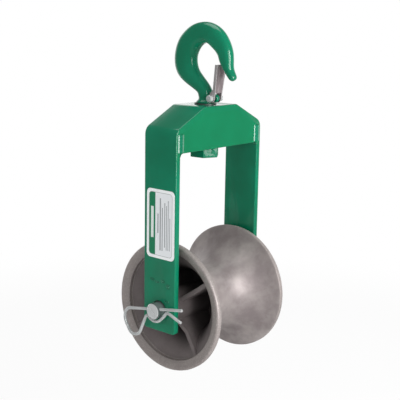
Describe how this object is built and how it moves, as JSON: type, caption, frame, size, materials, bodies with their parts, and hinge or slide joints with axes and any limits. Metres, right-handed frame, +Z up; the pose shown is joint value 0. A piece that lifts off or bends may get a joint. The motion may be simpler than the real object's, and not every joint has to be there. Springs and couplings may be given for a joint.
{
  "type": "cable feeding sheave",
  "caption": "Hourglass sheave on a removable pin in a bent and welded frame, hung from a swivel hook with a spring latch.",
  "frame": {"origin": "where a load line sits in the hook's bowl, on the shank's axis", "axes": "+Z up along the hook's shank, X along the axle with the labelled leg at -X, the hook's tip towards -Y"},
  "size_m": [0.2249, 0.2032, 0.533],
  "materials": {
    "green_paint": "gloss",
    "cast_alloy": "satin",
    "bright_zinc": "bright",
    "galvanised": "brushed",
    "axle_steel": "turned",
    "washer_steel": "satin",
    "spring_steel": "satin",
    "bronze": "satin",
    "label_sheet": "gloss"
  },
  "bodies": {
    "hook": {"hook": "green_paint", "latch_pin": "bright_zinc", "latch_nut": "bright_zinc", "latch_spring": "spring_steel", "shank_nut": "green_paint", "nut_pin": "green_paint", "nut_washer": "washer_steel"},
    "latch": {"latch": "galvanised"},
    "frame": {"thrust_washer": "washer_steel", "yoke_strap": "green_paint", "gusset_front": "green_paint", "gusset_rear": "green_paint", "cross_plate": "green_paint", "front_welds": "green_paint", "rear_welds": "green_paint", "label": "label_sheet"},
    "axle": {"axle_pin": "axle_steel", "hairpin": "bright_zinc", "spacer_left": "washer_steel", "spacer_right": "washer_steel"},
    "sheave": {"sheave": "cast_alloy", "bush_left": "bronze", "bush_right": "bronze"}
  },
  "joints": [
    {"name": "hook_swivel", "type": "hinge", "parent": "hook", "child": "frame", "pos_m": [0, 0, -0.092], "axis": [0, 0, 1], "continuous": true},
    {"name": "latch_hinge", "type": "hinge", "parent": "hook", "child": "latch", "pos_m": [0, -0.018, -0.082], "axis": [-1, 0, 0], "range_deg": [0, 42], "stiffness_Nm_per_rad": 0.06, "springref_deg": -34.38, "deforming": ["latch_spring"]},
    {"name": "axle_turn", "type": "hinge", "parent": "frame", "child": "axle", "pos_m": [0, 0, -0.3989], "axis": [1, 0, 0], "continuous": true},
    {"name": "sheave_spin", "type": "hinge", "parent": "frame", "child": "sheave", "pos_m": [0, 0, -0.3989], "axis": [1, 0, 0], "continuous": true}
  ]
}
